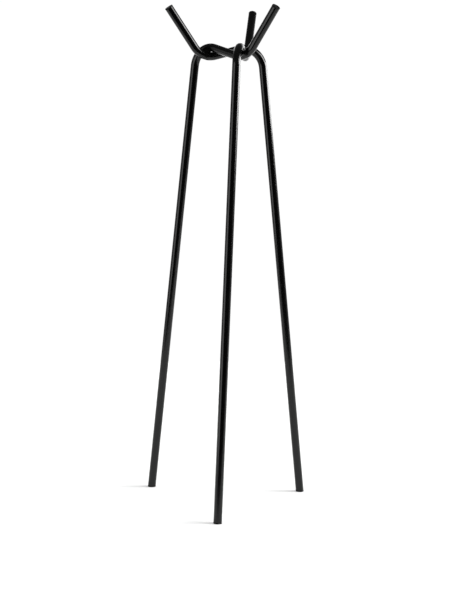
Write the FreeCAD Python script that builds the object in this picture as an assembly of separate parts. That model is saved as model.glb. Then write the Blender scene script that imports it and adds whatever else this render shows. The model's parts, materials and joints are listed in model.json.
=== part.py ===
import FreeCAD, Part
import math
import os

# A standing coat rack made of three identical bent steel tubes. Each tube is a leaning leg, a
# short cross run and a rising arm, all bent in one plane. The three planes stand evenly round the
# rack's axis, a little beside it, so the tubes knit near the top: the shoulder of each tube lies
# over the crook of the tube before it, and a screw ties them together there.
#
# Millimetres, +Z up. The front tube's plane runs along Y, with its foot towards -Y. The origin is
# on the floor, at the centre of the base of the whole rack's box.
#
# One tube and its fittings are made in the tube's own frame: Z is the rack's axis, the foot is
# towards +X, the arm towards -X, and the tube's plane passes the axis on the +Y side.

# The rack
RACK_HEIGHT = 1800.0
TUBE_NAMES = ("front_tube", "right_tube", "left_tube")
TURN_BETWEEN_TUBES = 360.0 / len(TUBE_NAMES)
FRONT_TUBE_HEADING = -90.0

# The bent tube, with its corners where the straight runs would meet. Slopes are in degrees,
# and the tube's plane leans slightly, so that it is nearer to the axis at the foot.
TUBE_DIAMETER = 30.0
TUBE_WALL = 1.5
PLANE_OFFSET = 39.7
PLANE_LEAN = 0.2
FOOT_REACH = 325.0
LEG_LEAN = 6.7
SHOULDER_HEIGHT = 1674.5
CROSS_RUN = 233.5
CROSS_DROP = 15.3
ARM_RISE = 54.0
BEND_RADIUS = 73.5

# Plastic end pieces
END_FACE = 4.5
END_ROUNDING = 1.2
SPIGOT_LENGTH = 16.0
SPIGOT_WALL = 2.0
RIB_WIDTH = 1.2
RIB_PITCH = 4.0
RIB_COUNT = 3
RIB_CLEARANCE = 0.1
SPIGOT_CLEARANCE = 0.8

# The screwed joint in each crook, an M6 button-head screw in a rivet nut
SCREW_RADIUS = 2.95
SCREW_LENGTH = 16.0
SCREW_POINT = 0.8
HEAD_RADIUS = 5.25
HEAD_HEIGHT = 3.3
HEAD_ROUNDING = 1.6
SOCKET_WIDTH = 4.0
SOCKET_DEPTH = 2.0
SCREW_HOLE_RADIUS = 3.3
SEAT_DEPTH = 2.2
SEAT_RADIUS = 5.6
SPACER_RADIUS = 12.0
INSERT_RADIUS = 4.5
INSERT_BORE = 3.0
INSERT_LENGTH = 13.0
INSERT_COLLAR_RADIUS = 6.0
INSERT_COLLAR_HEIGHT = 3.0
ACCESS_HOLE_RADIUS = 6.0
PLUG_SKIRT_RADIUS = 5.3
PLUG_SKIRT_DEPTH = 4.0
PLUG_WALL = 1.0
HOLE_CLEARANCE = 0.1

TUBE_RADIUS = TUBE_DIAMETER / 2
BORE_RADIUS = TUBE_RADIUS - TUBE_WALL
UP = FreeCAD.Vector(0, 0, 1)
AXIS_FOOT = FreeCAD.Vector(0, 0, 0)


def in_plane(reach, height):
    """A point in the tube's plane, from its distance out towards the foot and its height."""
    offset = PLANE_OFFSET + (height - SHOULDER_HEIGHT) * math.tan(math.radians(PLANE_LEAN))
    return FreeCAD.Vector(reach, offset, height)


def farther(start, length, slope):
    """The point in the plane that lies a length towards the arm, climbing by slope degrees."""
    angle = math.radians(slope)
    return in_plane(start.x - length * math.cos(angle), start.z + length * math.sin(angle))


def direction(start, end):
    """The unit direction from one point to another."""
    return (end - start).normalize()


# The highest point of the rack is on the rounded rim of each arm's cap.
RIM_RISE = (TUBE_RADIUS - END_ROUNDING) * math.cos(math.radians(ARM_RISE))
RIM_RISE += END_ROUNDING * (1 - math.sin(math.radians(ARM_RISE)))

FOOT = in_plane(FOOT_REACH, 0.0)
SHOULDER = farther(FOOT, SHOULDER_HEIGHT / math.cos(math.radians(LEG_LEAN)), 90.0 - LEG_LEAN)
CROOK = farther(SHOULDER, CROSS_RUN, -CROSS_DROP)
ARM_LENGTH = (RACK_HEIGHT - RIM_RISE - CROOK.z) / math.sin(math.radians(ARM_RISE))
TIP = farther(CROOK, ARM_LENGTH, ARM_RISE)

LEG_DIRECTION = direction(FOOT, SHOULDER)
CROSS_DIRECTION = direction(SHOULDER, CROOK)
ARM_DIRECTION = direction(CROOK, TIP)
ARM_END = TIP - ARM_DIRECTION * END_FACE


def bend(corner, before, after):
    """The tangent arc that rounds a corner between two directions."""
    half_turn = before.getAngle(after) / 2
    setback = BEND_RADIUS * math.tan(half_turn)
    inward = (after - before).normalize()
    middle = corner + inward * (BEND_RADIUS / math.cos(half_turn) - BEND_RADIUS)
    return Part.Arc(corner - before * setback, middle, corner + after * setback)


def centreline(start, end):
    """The tube's centreline from a point on the leg's line to a point on the arm's line."""
    shoulder = bend(SHOULDER, LEG_DIRECTION, CROSS_DIRECTION)
    crook = bend(CROOK, CROSS_DIRECTION, ARM_DIRECTION)
    leg = Part.LineSegment(start, shoulder.StartPoint)
    cross_run = Part.LineSegment(shoulder.EndPoint, crook.StartPoint)
    arm = Part.LineSegment(crook.EndPoint, end)
    return Part.Wire([curve.toShape() for curve in (leg, shoulder, cross_run, crook, arm)])


def swept(radius, start, end):
    """A solid round bar bent along the tube's centreline."""
    section = Part.Face(Part.Wire(Part.makeCircle(radius, start, LEG_DIRECTION)))
    return centreline(start, end).makePipe(section)


def turned(shape, degrees):
    """A copy of a shape turned about the rack's axis."""
    copy = shape.copy()
    copy.rotate(AXIS_FOOT, UP, degrees)
    return copy


def aimed(shape, place, heading):
    """A copy of a shape made along +Z from the origin, moved to a place and pointed elsewhere."""
    copy = shape.copy()
    copy.Placement = FreeCAD.Placement(place, FreeCAD.Rotation(UP, heading))
    return copy


def slab(bottom, top):
    """A level slab, wide enough to hold the whole rack between two heights."""
    width = 4 * FOOT_REACH
    return Part.makeBox(width, width, top - bottom, FreeCAD.Vector(-width / 2, -width / 2, bottom))


# The leg runs on below the floor here, so that a level cut can trim it.
LEG_START = FOOT - LEG_DIRECTION * TUBE_DIAMETER
OUTSIDE = swept(TUBE_RADIUS, LEG_START, ARM_END)
BORE = swept(BORE_RADIUS, LEG_START, ARM_END)


class Joint:
    """The line of one joint screw, from the lower tube's centreline to the upper tube's."""

    def __init__(self, lower_point, upper_point):
        self.start = lower_point
        self.reach = lower_point.distanceToPoint(upper_point)
        self.direction = direction(lower_point, upper_point)

    def at(self, distance):
        return self.start + self.direction * distance

    def cylinder(self, radius, low, high):
        return Part.makeCylinder(radius, high - low, self.at(low), self.direction)

    def turned(self, degrees):
        turn = FreeCAD.Rotation(UP, degrees)
        return Joint(turn.multVec(self.start), turn.multVec(self.at(self.reach)))


def crook_joint():
    """The joint where this tube's crook passes under the next tube's shoulder."""
    own_line = centreline(FOOT, ARM_END)
    next_line = turned(own_line, TURN_BETWEEN_TUBES)
    nearest = own_line.distToShape(next_line)[1][0]
    return Joint(nearest[0], nearest[1])


CROOK_JOINT = crook_joint()
SHOULDER_JOINT = CROOK_JOINT.turned(-TURN_BETWEEN_TUBES)
SEAT = BORE_RADIUS - SEAT_DEPTH


def tube():
    """The bent tube, cut level at the foot, with its three holes for the joints."""
    wall = OUTSIDE.cut(BORE).cut(slab(-TUBE_DIAMETER * 2, END_FACE))
    holes = [
        CROOK_JOINT.cylinder(SCREW_HOLE_RADIUS, 0, TUBE_DIAMETER),
        CROOK_JOINT.cylinder(ACCESS_HOLE_RADIUS, -TUBE_DIAMETER, 0),
        SHOULDER_JOINT.cylinder(INSERT_RADIUS + HOLE_CLEARANCE, 0, SHOULDER_JOINT.reach),
    ]
    return wall.cut(holes)


def spigot():
    """A hollow ribbed spigot that points along -Z from the origin and fills a tube's bore."""
    radius = BORE_RADIUS - SPIGOT_CLEARANCE
    down = FreeCAD.Vector(0, 0, -1)
    body = Part.makeCylinder(radius, SPIGOT_LENGTH, AXIS_FOOT, down)
    ribs = []
    for index in range(1, RIB_COUNT + 1):
        place = FreeCAD.Vector(0, 0, -index * RIB_PITCH)
        ribs.append(Part.makeCylinder(BORE_RADIUS - RIB_CLEARANCE, RIB_WIDTH, place, down))
    hollow = Part.makeCylinder(radius - SPIGOT_WALL, SPIGOT_LENGTH, AXIS_FOOT, down)
    return body.fuse(ribs).cut(hollow)


def arm_cap():
    """The plastic cap in the arm's end, with a flat face and a rounded rim."""
    face = Part.makeCylinder(TUBE_RADIUS, END_FACE)
    rim = [edge for edge in face.Edges if edge.BoundBox.ZMin > END_FACE / 2]
    face = face.makeFillet(END_ROUNDING, rim)
    return aimed(face.fuse(spigot()).removeSplitter(), ARM_END, ARM_DIRECTION)


def foot_glide():
    """The plastic glide in the leg's end, with a level sole that stands on the floor."""
    leg_bar = Part.makeCylinder(TUBE_RADIUS, 2 * TUBE_DIAMETER, LEG_START, LEG_DIRECTION)
    sole = leg_bar.common(slab(0, END_FACE))
    rim = [edge for edge in sole.Edges if edge.BoundBox.ZMax < END_FACE / 2]
    sole = sole.makeFillet(END_ROUNDING, rim)
    # The spigot starts just under the tube's level cut, so that no gap is left on its high side.
    start = FOOT + LEG_DIRECTION * (END_FACE - TUBE_RADIUS * math.tan(math.radians(LEG_LEAN)))
    upward = aimed(spigot(), start, LEG_DIRECTION * -1)
    return sole.fuse(upward.cut(slab(-TUBE_DIAMETER, END_FACE))).removeSplitter()


def screw():
    """The button-head screw, up through the crook's upper wall into the next tube's shoulder."""
    head = Part.makeCylinder(HEAD_RADIUS, HEAD_HEIGHT)
    rim = [edge for edge in head.Edges if edge.BoundBox.ZMax < HEAD_HEIGHT / 2]
    head = head.makeFillet(HEAD_ROUNDING, rim)
    corner = FreeCAD.Vector(SOCKET_WIDTH / math.sqrt(3), 0, 0)
    hexagon = Part.makePolygon([FreeCAD.Rotation(UP, 60 * index).multVec(corner) for index in range(7)])
    socket = Part.Face(hexagon).extrude(UP * SOCKET_DEPTH)
    shank = Part.makeCylinder(SCREW_RADIUS, SCREW_LENGTH, UP * HEAD_HEIGHT)
    point = [edge for edge in shank.Edges if edge.BoundBox.ZMin > HEAD_HEIGHT + SCREW_LENGTH / 2]
    shank = shank.makeChamfer(SCREW_POINT, point)
    solid = head.cut(socket).fuse(shank)
    return aimed(solid, CROOK_JOINT.at(SEAT - HEAD_HEIGHT), CROOK_JOINT.direction)


def seat_washer():
    """The shaped washer between the screw's flat seat and the round inside of the tube."""
    blank = CROOK_JOINT.cylinder(SEAT_RADIUS, SEAT, TUBE_RADIUS)
    hole = CROOK_JOINT.cylinder(SCREW_HOLE_RADIUS, SEAT, TUBE_RADIUS)
    return blank.common(BORE).cut(hole)


def saddle_spacer():
    """The saddle between the crook and the next tube's shoulder, hollowed to fit both."""
    blank = CROOK_JOINT.cylinder(SPACER_RADIUS, 0, CROOK_JOINT.reach)
    hole = CROOK_JOINT.cylinder(SCREW_HOLE_RADIUS, 0, CROOK_JOINT.reach)
    return blank.cut([OUTSIDE, turned(OUTSIDE, TURN_BETWEEN_TUBES), hole])


def threaded_insert():
    """The rivet nut in the underside of the shoulder, flush outside and collared inside."""
    outer_wall = SHOULDER_JOINT.reach - TUBE_RADIUS
    inner_wall = SHOULDER_JOINT.reach - BORE_RADIUS
    barrel = SHOULDER_JOINT.cylinder(INSERT_RADIUS, outer_wall - TUBE_WALL, outer_wall + INSERT_LENGTH)
    collar_top = inner_wall + INSERT_COLLAR_HEIGHT
    collar = SHOULDER_JOINT.cylinder(INSERT_COLLAR_RADIUS, outer_wall - TUBE_WALL, collar_top)
    thread = SHOULDER_JOINT.cylinder(INSERT_BORE, outer_wall - TUBE_WALL, outer_wall + INSERT_LENGTH)
    return barrel.common(OUTSIDE).fuse(collar.common(BORE)).cut(thread)


def hole_plug():
    """The push-in plug that closes the screwdriver's hole, flush with the tube's outside."""
    face_depth = BORE_RADIUS - PLUG_WALL
    face = CROOK_JOINT.cylinder(ACCESS_HOLE_RADIUS - HOLE_CLEARANCE, -TUBE_DIAMETER, -face_depth)
    skirt_end = face_depth - PLUG_SKIRT_DEPTH
    skirt = CROOK_JOINT.cylinder(PLUG_SKIRT_RADIUS, -face_depth, -skirt_end)
    hollow = CROOK_JOINT.cylinder(PLUG_SKIRT_RADIUS - PLUG_WALL, -face_depth, -skirt_end)
    return face.common(OUTSIDE).fuse(skirt.cut(hollow))


PIECES = {
    "": tube,
    "_arm_cap": arm_cap,
    "_foot_glide": foot_glide,
    "_screw": screw,
    "_seat_washer": seat_washer,
    "_saddle_spacer": saddle_spacer,
    "_threaded_insert": threaded_insert,
    "_hole_plug": hole_plug,
}


def rack():
    """Every node by name, three sets of pieces turned evenly round the rack's axis."""
    own_pieces = {suffix: make() for suffix, make in PIECES.items()}
    nodes = {}
    for index, name in enumerate(TUBE_NAMES):
        angle = FRONT_TUBE_HEADING + index * TURN_BETWEEN_TUBES
        for suffix, shape in own_pieces.items():
            nodes[name + suffix] = turned(shape, angle)
    return nodes


def moved_to_origin(nodes):
    """The nodes, moved level so that the whole rack's box is centred on the origin."""
    box = Part.makeCompound(list(nodes.values())).optimalBoundingBox(False, False)
    shift = FreeCAD.Vector(-box.Center.x, -box.Center.y, 0)
    return {name: shape.translated(shift) for name, shape in nodes.items()}


NODES = moved_to_origin(rack())

os.makedirs("parts", exist_ok=True)
for node_name, node_shape in NODES.items():
    node_shape.exportStep("parts/" + node_name + ".step")
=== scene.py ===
"""The looks of a standing coat rack: three bent black tubes that knit together near the top.

Metres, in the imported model's frame: +Z up, the floor at z = 0. The tube is made in its own frame,
where Z is the rack's axis, the foot is towards +X and the arm towards -X. It is then turned into
its three places round the axis.
"""
import json
import math

import bmesh
import bpy
from mathutils import Matrix, Vector


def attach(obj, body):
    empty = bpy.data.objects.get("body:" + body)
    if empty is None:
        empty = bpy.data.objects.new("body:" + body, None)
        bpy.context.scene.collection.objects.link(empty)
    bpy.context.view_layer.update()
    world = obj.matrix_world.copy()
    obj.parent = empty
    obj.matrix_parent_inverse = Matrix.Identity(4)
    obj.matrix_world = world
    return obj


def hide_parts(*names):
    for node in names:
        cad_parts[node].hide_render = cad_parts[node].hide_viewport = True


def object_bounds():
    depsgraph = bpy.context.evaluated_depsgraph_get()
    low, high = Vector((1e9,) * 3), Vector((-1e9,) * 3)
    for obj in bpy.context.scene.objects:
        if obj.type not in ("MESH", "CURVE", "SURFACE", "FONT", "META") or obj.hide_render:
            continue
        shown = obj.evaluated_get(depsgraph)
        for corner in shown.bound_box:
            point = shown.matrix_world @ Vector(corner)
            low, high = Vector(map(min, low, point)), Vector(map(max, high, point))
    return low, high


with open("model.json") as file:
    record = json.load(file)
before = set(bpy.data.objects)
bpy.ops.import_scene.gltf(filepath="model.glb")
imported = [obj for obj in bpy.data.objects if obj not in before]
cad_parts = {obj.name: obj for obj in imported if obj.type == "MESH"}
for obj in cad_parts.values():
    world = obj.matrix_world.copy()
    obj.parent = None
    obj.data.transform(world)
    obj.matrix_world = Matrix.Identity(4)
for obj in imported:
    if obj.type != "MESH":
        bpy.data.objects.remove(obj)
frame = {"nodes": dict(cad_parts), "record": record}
cad_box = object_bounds()

MM = 0.001

# The bent tube, with its corners where the straight runs would meet. Its plane stands beside the
# rack's axis, by the offset at the shoulder's height, and leans a little.
TUBE_RADIUS = 15.0 * MM
BORE_RADIUS = 13.5 * MM
PLANE_OFFSET = 39.7 * MM
PLANE_LEAN = math.radians(0.2)
FOOT_REACH = 325.0 * MM
LEG_LEAN = math.radians(6.7)
SHOULDER_HEIGHT = 1674.5 * MM
CROSS_RUN = 233.5 * MM
CROSS_DROP = math.radians(15.3)
ARM_RISE = math.radians(54.0)
BEND_RADIUS = 73.5 * MM

# The thickness of the plastic faces past the tube's ends, their rounding, and the tube's broken edges
END_FACE = 4.5 * MM
END_ROUNDING = 1.2 * MM
EDGE_BREAK = 0.25 * MM

# The holes at the two joints that a tube is part of
SCREW_HOLE_RADIUS = 3.3 * MM
ACCESS_HOLE_RADIUS = 6.0 * MM
INSERT_HOLE_RADIUS = 4.6 * MM

# How finely the meshes are made
TUBE_SIDES = 72
HOLE_SIDES = 48
FLOOR_SIDES = 128
RUN_STEP = 25.0 * MM
BEND_STEP = math.radians(2.5)

# Enough steps for the nearest points of two centrelines to settle
JOINT_STEPS = 400

# The least cosine between the normal of a face on a round wall and its spoke from the centreline
ROUND_WALL = 0.98

# The three tubes, in order round the rack's axis, and which way the front one's foot points
TUBES = ("front_tube", "right_tube", "left_tube")
TUBE_SLOT = "black_powder_coat"
FRONT_HEADING = math.radians(-90.0)
TURN = math.radians(120.0)
UP = Vector((0.0, 0.0, 1.0))


# ---------------------------------------------------------------- the tube's centreline

def in_plane(reach, height):
    """A point in the tube's plane, from its distance out towards the foot and its height."""
    offset = PLANE_OFFSET + (height - SHOULDER_HEIGHT) * math.tan(PLANE_LEAN)
    return Vector((reach, offset, height))


def farther(start, length, slope):
    """The point in the plane that lies a length towards the arm, climbing at a slope."""
    return in_plane(start.x - length * math.cos(slope), start.z + length * math.sin(slope))


def rim_rise():
    """How far the cap's rounded rim stands above the middle of its face."""
    flat = TUBE_RADIUS - END_ROUNDING
    return flat * math.cos(ARM_RISE) + END_ROUNDING * (1.0 - math.sin(ARM_RISE))


FOOT = in_plane(FOOT_REACH, 0.0)
SHOULDER = farther(FOOT, SHOULDER_HEIGHT / math.cos(LEG_LEAN), math.radians(90.0) - LEG_LEAN)
CROOK = farther(SHOULDER, CROSS_RUN, -CROSS_DROP)
TIP_HEIGHT = cad_box[1].z - rim_rise()
TIP = farther(CROOK, (TIP_HEIGHT - CROOK.z) / math.sin(ARM_RISE), ARM_RISE)
LEG_WAY = (SHOULDER - FOOT).normalized()
CROSS_WAY = (CROOK - SHOULDER).normalized()
ARM_WAY = (TIP - CROOK).normalized()
ARM_END = TIP - ARM_WAY * END_FACE
PLANE_NORMAL = LEG_WAY.cross(ARM_WAY).normalized()


class Run:
    """A straight stretch of the centreline."""

    def __init__(self, start, end):
        self.start = start
        self.end = end
        self.way = (end - start).normalized()

    def stations(self):
        """Points along the run with the direction there, without the last one."""
        count = max(1, round((self.end - self.start).length / RUN_STEP))
        return [(self.start.lerp(self.end, i / count), self.way) for i in range(count)]

    def nearest(self, point):
        """The point of the run nearest to a point."""
        along = (point - self.start).dot(self.way)
        return self.start + self.way * min(max(along, 0.0), (self.end - self.start).length)


class Bend:
    """A tangent arc that rounds a corner of the centreline."""

    def __init__(self, corner, before, after):
        half_turn = before.angle(after) / 2.0
        setback = BEND_RADIUS * math.tan(half_turn)
        inward = (after - before).normalized()
        self.start = corner - before * setback
        self.end = corner + after * setback
        self.centre = corner + inward * (BEND_RADIUS / math.cos(half_turn))
        self.before = before
        self.turn = 2.0 * half_turn
        self.axis = before.cross(after).normalized()

    def stations(self):
        """Points along the arc with the direction there, without the last one."""
        count = math.ceil(self.turn / BEND_STEP)
        made = []
        for i in range(count):
            spin = Matrix.Rotation(self.turn * i / count, 3, self.axis)
            made.append((self.centre + spin @ (self.start - self.centre), spin @ self.before))
        return made

    def nearest(self, point):
        """The point of the arc nearest to a point."""
        spoke = point - self.centre
        spoke -= self.axis * spoke.dot(self.axis)
        first = (self.start - self.centre).normalized()
        angle = math.atan2(first.cross(spoke).dot(self.axis), first.dot(spoke))
        if angle < 0.0:
            return self.start
        if angle > self.turn:
            return self.end
        return self.centre + spoke.normalized() * BEND_RADIUS


def centreline():
    """The five stretches of the tube's centreline, from the floor to the cap."""
    shoulder = Bend(SHOULDER, LEG_WAY, CROSS_WAY)
    crook = Bend(CROOK, CROSS_WAY, ARM_WAY)
    return [
        Run(FOOT, shoulder.start),
        shoulder,
        Run(shoulder.end, crook.start),
        crook,
        Run(crook.end, ARM_END),
    ]


STRETCHES = centreline()


def nearest_on_centreline(point):
    """The point of the whole centreline nearest to a point."""
    found = [stretch.nearest(point) for stretch in STRETCHES]
    return min(found, key=lambda place: (place - point).length)


def crook_joint():
    """Where this tube's crook and the next tube's shoulder come nearest: a point on each line."""
    forward = Matrix.Rotation(TURN, 3, UP)
    back = Matrix.Rotation(-TURN, 3, UP)
    own = CROOK.copy()
    other = own
    for _ in range(JOINT_STEPS):
        other = forward @ nearest_on_centreline(back @ own)
        own = nearest_on_centreline(other)
    return own, other


# ---------------------------------------------------------------- the tube's mesh

def ring(centre, way, radius, level=None):
    """A ring of points round a line, square to it, or slid along it to one level."""
    side = PLANE_NORMAL.cross(way).normalized()
    points = []
    for i in range(TUBE_SIDES):
        angle = 2.0 * math.pi * i / TUBE_SIDES
        point = centre + (side * math.cos(angle) + PLANE_NORMAL * math.sin(angle)) * radius
        if level is not None:
            point += way * ((level - point.z) / way.z)
        points.append(point)
    return points


def stitched(name, rings):
    """A mesh of quads between rings in order, with the last ring joined to the first."""
    mesh = bmesh.new()
    loops = [[mesh.verts.new(point) for point in points] for points in rings]
    for low, high in zip(loops, loops[1:] + loops[:1]):
        for i in range(TUBE_SIDES):
            j = (i + 1) % TUBE_SIDES
            mesh.faces.new((low[i], low[j], high[j], high[i]))
    bmesh.ops.recalc_face_normals(mesh, faces=mesh.faces[:])
    data = bpy.data.meshes.new(name)
    mesh.to_mesh(data)
    mesh.free()
    data.shade_smooth()
    return data


def tube_rings():
    """Rings up the outside from the foot to the arm's end, and back down the bore."""
    stations = [station for stretch in STRETCHES for station in stretch.stations()][1:]
    sole_cut = (FOOT, LEG_WAY)
    outside = [ring(*sole_cut, TUBE_RADIUS - EDGE_BREAK, END_FACE)]
    outside.append(ring(*sole_cut, TUBE_RADIUS, END_FACE + EDGE_BREAK))
    outside += [ring(*station, TUBE_RADIUS) for station in stations]
    outside.append(ring(ARM_END - ARM_WAY * EDGE_BREAK, ARM_WAY, TUBE_RADIUS))
    outside.append(ring(ARM_END, ARM_WAY, TUBE_RADIUS - EDGE_BREAK))
    inside = [ring(ARM_END, ARM_WAY, BORE_RADIUS)]
    inside += [ring(*station, BORE_RADIUS) for station in reversed(stations)]
    inside.append(ring(*sole_cut, BORE_RADIUS, END_FACE))
    return outside + inside


def drill(data, start, way, radius, length):
    """The mesh with a round hole cut in it, from a start along a way."""
    cutter_mesh = bmesh.new()
    bmesh.ops.create_cone(
        cutter_mesh,
        cap_ends=True,
        segments=HOLE_SIDES,
        radius1=radius,
        radius2=radius,
        depth=length,
    )
    turn = way.to_track_quat("Z", "Y").to_matrix().to_4x4()
    place = Matrix.Translation(start + way * length / 2.0) @ turn
    bmesh.ops.transform(cutter_mesh, matrix=place, verts=cutter_mesh.verts[:])
    cutter_data = bpy.data.meshes.new("cutter")
    cutter_mesh.to_mesh(cutter_data)
    cutter_mesh.free()
    cutter = bpy.data.objects.new("cutter", cutter_data)
    blank = bpy.data.objects.new("blank", data)
    for item in (cutter, blank):
        bpy.context.scene.collection.objects.link(item)
    cut = blank.modifiers.new("cut", "BOOLEAN")
    cut.operation = "DIFFERENCE"
    cut.solver = "EXACT"
    cut.object = cutter
    graph = bpy.context.evaluated_depsgraph_get()
    result = bpy.data.meshes.new_from_object(blank.evaluated_get(graph))
    for item in (cutter, blank):
        bpy.data.objects.remove(item)
    return result


def set_tube_normals(data):
    """Exact round normals on the outside and in the bore, and flat ones on the cut edges."""
    normals = [None] * len(data.loops)
    mid_wall = (TUBE_RADIUS + BORE_RADIUS) / 2.0
    for face in data.polygons:
        spoke = face.center - nearest_on_centreline(face.center)
        round_face = abs(spoke.normalized().dot(face.normal)) > ROUND_WALL
        outward = 1.0 if spoke.length > mid_wall else -1.0
        for loop in face.loop_indices:
            place = data.vertices[data.loops[loop].vertex_index].co
            exact = (place - nearest_on_centreline(place)).normalized() * outward
            normals[loop] = exact if round_face else face.normal
    data.normals_split_custom_set(normals)


def make_tube():
    """One bent tube with its screw hole, driver hole and insert hole."""
    data = stitched("tube", tube_rings())
    own, other = crook_joint()
    way = (other - own).normalized()
    reach = 2.0 * TUBE_RADIUS
    data = drill(data, own, way, SCREW_HOLE_RADIUS, reach)
    data = drill(data, own, -way, ACCESS_HOLE_RADIUS, reach)
    back = Matrix.Rotation(-TURN, 3, UP)
    data = drill(data, back @ other, back @ -way, INSERT_HOLE_RADIUS, reach)
    set_tube_normals(data)
    return data


# ---------------------------------------------------------------- materials

# The range that most of a noise's values lie in
NOISE_LOW = 0.3
NOISE_HIGH = 0.7


def grey(tone):
    """A grey as a colour with full alpha."""
    return (tone, tone, tone, 1.0)


class Finish:
    """A material under construction: its Principled shader and the nodes that vary it."""

    def __init__(self, name):
        self.material = bpy.data.materials.new(name)
        self.material.use_nodes = True
        self.tree = self.material.node_tree
        self.shader = self.tree.nodes["Principled BSDF"]
        self.coordinates = self.tree.nodes.new("ShaderNodeTexCoord")

    def set(self, socket, value):
        """Gives a socket of the shader one value all over."""
        self.shader.inputs[socket].default_value = value

    def drive(self, socket, output):
        """Links a node's output to a socket of the shader."""
        self.tree.links.new(output, self.shader.inputs[socket])

    def noise(self, scale, detail=2.0):
        """A noise in the object's space; the scale is in cells per metre."""
        node = self.tree.nodes.new("ShaderNodeTexNoise")
        node.inputs["Scale"].default_value = scale
        node.inputs["Detail"].default_value = detail
        self.tree.links.new(self.coordinates.outputs["Object"], node.inputs["Vector"])
        return node.outputs["Fac"]

    def between(self, value, low, high):
        """A noise value mapped from its usual range onto low to high."""
        node = self.tree.nodes.new("ShaderNodeMapRange")
        node.inputs["From Min"].default_value = NOISE_LOW
        node.inputs["From Max"].default_value = NOISE_HIGH
        node.inputs["To Min"].default_value = low
        node.inputs["To Max"].default_value = high
        self.tree.links.new(value, node.inputs["Value"])
        return node.outputs["Result"]

    def shades(self, value, dark, light):
        """A colour between two, picked by a noise value."""
        node = self.tree.nodes.new("ShaderNodeValToRGB")
        node.color_ramp.elements[0].position = NOISE_LOW
        node.color_ramp.elements[0].color = dark
        node.color_ramp.elements[1].position = NOISE_HIGH
        node.color_ramp.elements[1].color = light
        self.tree.links.new(value, node.inputs["Fac"])
        return node.outputs["Color"]

    def bump(self, height, distance):
        """Roughens the surface by a noise value, over a distance in metres."""
        node = self.tree.nodes.new("ShaderNodeBump")
        node.inputs["Distance"].default_value = distance
        self.tree.links.new(height, node.inputs["Height"])
        self.drive("Normal", node.outputs["Normal"])


def powder_coat():
    """Satin black powder coat: even black with the faint orange peel of baked powder."""
    finish = Finish("black_powder_coat")
    finish.drive("Base Color", finish.shades(finish.noise(9.0, 3.0), grey(0.0010), grey(0.0018)))
    finish.drive("Roughness", finish.between(finish.noise(60.0, 3.0), 0.14, 0.17))
    finish.set("IOR", 1.38)
    finish.bump(finish.noise(500.0), 0.02 * MM)
    return finish.material


def moulded_plastic():
    """Black moulded plastic with a fine matt grain."""
    finish = Finish("black_plastic")
    finish.drive("Base Color", finish.shades(finish.noise(40.0, 3.0), grey(0.0015), grey(0.003)))
    finish.drive("Roughness", finish.between(finish.noise(300.0), 0.46, 0.56))
    finish.set("Specular IOR Level", 0.1)
    finish.bump(finish.noise(1800.0, 3.0), 0.02 * MM)
    return finish.material


def zinc_plate():
    """Bright zinc plate with slight clouding."""
    finish = Finish("zinc_plated_steel")
    clouding = finish.noise(250.0, 4.0)
    blue_grey = (0.48, 0.49, 0.51, 1.0)
    silver = (0.62, 0.62, 0.63, 1.0)
    finish.drive("Base Color", finish.shades(clouding, blue_grey, silver))
    finish.set("Metallic", 1.0)
    finish.drive("Roughness", finish.between(finish.noise(400.0, 3.0), 0.24, 0.38))
    finish.bump(finish.noise(2500.0), 0.01 * MM)
    return finish.material


def white_floor():
    """The studio's white floor sheet."""
    finish = Finish("floor")
    finish.drive("Base Color", finish.shades(finish.noise(3.0), grey(0.90), grey(0.92)))
    finish.set("Roughness", 0.9)
    finish.set("Specular IOR Level", 0.1)
    return finish.material


# ---------------------------------------------------------------- the pieces

def rack_axis():
    """Where the rack's axis meets the floor: the middle of its three feet."""
    feet = [Vector(m["pos_m"]) for m in frame["record"]["mounts"] if m["kind"] == "flat_face"]
    return sum(feet, Vector()) / len(feet)


def place_tubes(data, finishes):
    """Puts the tube's mesh in its three places, each instead of that tube's CAD node."""
    for index, tube in enumerate(TUBES):
        copy = data.copy()
        turn = Matrix.Rotation(FRONT_HEADING + index * TURN, 4, UP)
        copy.transform(Matrix.Translation(rack_axis()) @ turn)
        copy.materials.clear()
        copy.materials.append(finishes[TUBE_SLOT])
        piece = bpy.data.objects.new(tube + "_finish", copy)
        bpy.context.scene.collection.objects.link(piece)
        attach(piece, "root")
        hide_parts(tube)


def finish_cad_nodes(finishes):
    """Gives every CAD node the full material of its slot."""
    for part in frame["record"]["subparts"]:
        node = frame["nodes"][part["node"]]
        node.data.materials.clear()
        node.data.materials.append(finishes[part["material_slot"]])


# ---------------------------------------------------------------- studio

# The camera: its place is measured from the rack's axis, as it sees it, and its lens in millimetres
CAMERA_HEADING = math.radians(9.08)
CAMERA_DISTANCE = 5.4152
CAMERA_HEIGHT = 1.4208
CAMERA_SIDE = -0.0087
CAMERA_PITCH = math.radians(7.101)
CAMERA_ROLL = math.radians(1.09)
CAMERA_LENS = 89.735

# The floor, with its middle to the right of the rack's axis and behind it
FLOOR_WIDTH = 12.5
FLOOR_DEPTH = 5.2
FLOOR_SIDE = 1.5
FLOOR_BEHIND = 0.6


def studio(right, back, up):
    """A point given by how far it is right of the rack, behind it and up, as the camera sees it."""
    return rack_axis() + Matrix.Rotation(CAMERA_HEADING, 3, UP) @ Vector((right, back, up))


def around(angle, distance, height):
    """A studio point at an angle round the rack, in degrees from the camera's side to the right."""
    angle = math.radians(angle)
    return studio(distance * math.sin(angle), -distance * math.cos(angle), height)


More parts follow.
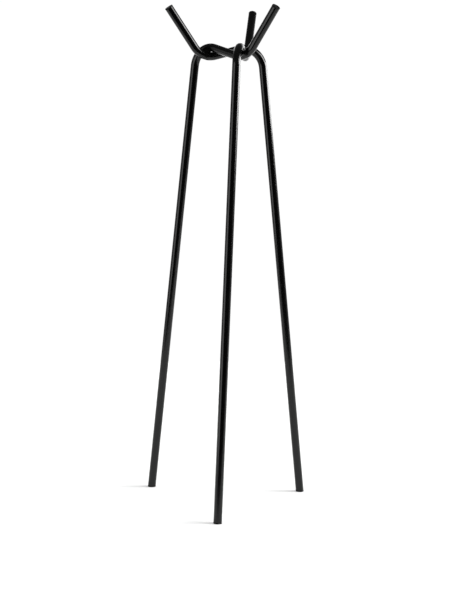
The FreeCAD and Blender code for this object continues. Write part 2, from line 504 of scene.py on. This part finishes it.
def make_camera():
    """The camera, in front of the rack and looking slightly down."""
    data = bpy.data.cameras.new("camera")
    data.lens = CAMERA_LENS
    camera = bpy.data.objects.new("camera", data)
    bpy.context.scene.collection.objects.link(camera)
    heading = Matrix.Rotation(CAMERA_HEADING, 4, "Z")
    tilt = Matrix.Rotation(math.radians(90.0) - CAMERA_PITCH, 4, "X")
    roll = Matrix.Rotation(CAMERA_ROLL, 4, "Z")
    place = Matrix.Translation(studio(CAMERA_SIDE, -CAMERA_DISTANCE, CAMERA_HEIGHT))
    camera.matrix_world = place @ heading @ tilt @ roll
    bpy.context.scene.camera = camera


def make_floor():
    """An oval white floor that reaches farther to the sides than to the front and back."""
    oval = Matrix.Diagonal((FLOOR_WIDTH / 2.0, FLOOR_DEPTH / 2.0, 1.0, 1.0))
    mesh = bmesh.new()
    bmesh.ops.create_circle(mesh, cap_ends=True, segments=FLOOR_SIDES, radius=1.0, matrix=oval)
    data = bpy.data.meshes.new("floor")
    mesh.to_mesh(data)
    mesh.free()
    data.materials.append(white_floor())
    floor = bpy.data.objects.new("floor", data)
    floor.location = studio(FLOOR_SIDE, FLOOR_BEHIND, 0.0)
    floor.rotation_euler.z = CAMERA_HEADING
    bpy.context.scene.collection.objects.link(floor)


# What the softboxes face, how wide the sun-like key light looks and how strong it is
SOFTBOX_AIM_HEIGHT = 1.5
KEY_WIDTH = math.radians(34.0)
KEY_STRENGTH = 3.4


def add_light(name, kind, place, target):
    """A light that faces a target and that the camera doesn't see."""
    data = bpy.data.lights.new(name, kind)
    light = bpy.data.objects.new(name, data)
    light.location = place
    light.rotation_mode = "QUATERNION"
    light.rotation_quaternion = (target - place).to_track_quat("-Z", "Y")
    light.visible_camera = False
    bpy.context.scene.collection.objects.link(light)
    return light


def make_softbox(name, place, width, height, power):
    """A rectangular softbox that only glossy surfaces mirror, and that lights nothing else."""
    light = add_light(name, "AREA", place, studio(0.0, 0.0, SOFTBOX_AIM_HEIGHT))
    light.data.shape = "RECTANGLE"
    light.data.size = width
    light.data.size_y = height
    light.data.energy = power
    light.visible_diffuse = False


def make_lights():
    """Softboxes for the tubes to mirror, and a wide low key light that nothing mirrors."""
    make_softbox("left_softbox", around(-55.0, 3.4, 1.5), width=2.1, height=2.8, power=45.0)
    make_softbox("right_softbox", around(107.0, 6.0, 2.4), width=5.2, height=1.3, power=380.0)
    make_softbox("high_softbox", around(81.0, 6.0, 3.8), width=3.6, height=2.0, power=330.0)
    key = add_light("key_light", "SUN", around(92.0, 9.0, 4.2), studio(0.0, 0.0, 0.0))
    key.data.angle = KEY_WIDTH
    key.data.energy = KEY_STRENGTH
    key.visible_glossy = False


# The tones of the room's walls that the tubes mirror, by the angle in degrees round the rack: from
# its left, past the camera's side at 90 and its right at 180, and behind it back to the left
WALL_TONES = (
    (0.0, 0.25),
    (20.0, 0.25),
    (48.0, 0.0),
    (158.0, 0.0),
    (182.0, 0.25),
    (200.0, 0.14),
    (234.0, 0.14),
    (250.0, 0.9),
    (288.0, 0.9),
    (315.0, 0.12),
    (335.0, 0.12),
    (360.0, 0.25),
)
WALL_STRENGTH = 2.2
CEILING_TONE = 0.11

# The steepness of a direction, as its Z, where the walls start to fade and where the ceiling is full
WALLS_END = 0.2
CEILING_START = 0.5

# The even sky that lights the floor, and the backdrop that the camera sees, just past white
SKY_TONE = 0.90
BACKDROP_TONE = 1.02


def background(tree, tone):
    """A background of one grey."""
    node = tree.nodes.new("ShaderNodeBackground")
    node.inputs["Color"].default_value = grey(tone)
    return node


def mixed(tree, factor, first, second):
    """A shader that goes from the first to the second as the factor goes from 0 to 1."""
    node = tree.nodes.new("ShaderNodeMixShader")
    tree.links.new(factor, node.inputs["Fac"])
    tree.links.new(first.outputs[0], node.inputs[1])
    tree.links.new(second.outputs[0], node.inputs[2])
    return node


def walls(tree, directions):
    """The room's walls, toned by the angle round the rack."""
    turned = tree.nodes.new("ShaderNodeMapping")
    turned.inputs["Rotation"].default_value = (0.0, 0.0, -CAMERA_HEADING)
    tree.links.new(directions, turned.inputs["Vector"])
    sweep = tree.nodes.new("ShaderNodeTexGradient")
    sweep.gradient_type = "RADIAL"
    tree.links.new(turned.outputs["Vector"], sweep.inputs["Vector"])
    tones = tree.nodes.new("ShaderNodeValToRGB")
    tree.links.new(sweep.outputs["Fac"], tones.inputs["Fac"])
    while len(tones.color_ramp.elements) < len(WALL_TONES):
        tones.color_ramp.elements.new(0.5)
    for element, (angle, tone) in zip(tones.color_ramp.elements, WALL_TONES):
        element.position = angle / 360.0
        element.color = grey(tone)
    node = tree.nodes.new("ShaderNodeBackground")
    node.inputs["Strength"].default_value = WALL_STRENGTH
    tree.links.new(tones.outputs["Color"], node.inputs["Color"])
    return node


def upward(tree, directions):
    """How far a direction has left the walls for the ceiling, from 0 to 1."""
    height = tree.nodes.new("ShaderNodeSeparateXYZ")
    tree.links.new(directions, height.inputs["Vector"])
    share = tree.nodes.new("ShaderNodeMapRange")
    share.inputs["From Min"].default_value = WALLS_END
    share.inputs["From Max"].default_value = CEILING_START
    tree.links.new(height.outputs["Z"], share.inputs["Value"])
    return share.outputs["Result"]


def make_world():
    """White to the camera, an even sky to the floor, and a darker room for the tubes to mirror."""
    world = bpy.data.worlds.new("studio")
    bpy.context.scene.world = world
    world.use_nodes = True
    tree = world.node_tree
    tree.nodes.clear()
    directions = tree.nodes.new("ShaderNodeTexCoord").outputs["Generated"]
    rays = tree.nodes.new("ShaderNodeLightPath")
    ceiling = background(tree, CEILING_TONE)
    room = mixed(tree, upward(tree, directions), walls(tree, directions), ceiling)
    light = mixed(tree, rays.outputs["Is Glossy Ray"], background(tree, SKY_TONE), room)
    seen = mixed(tree, rays.outputs["Is Camera Ray"], light, background(tree, BACKDROP_TONE))
    output = tree.nodes.new("ShaderNodeOutputWorld")
    tree.links.new(seen.outputs["Shader"], output.inputs["Surface"])


# ---------------------------------------------------------------- the whole scene

finishes = {
    TUBE_SLOT: powder_coat(),
    "black_plastic": moulded_plastic(),
    "zinc_plated_steel": zinc_plate(),
}
make_camera()
finish_cad_nodes(finishes)
place_tubes(make_tube(), finishes)
make_floor()
make_lights()
make_world()
bpy.context.scene.view_settings.view_transform = "Standard"
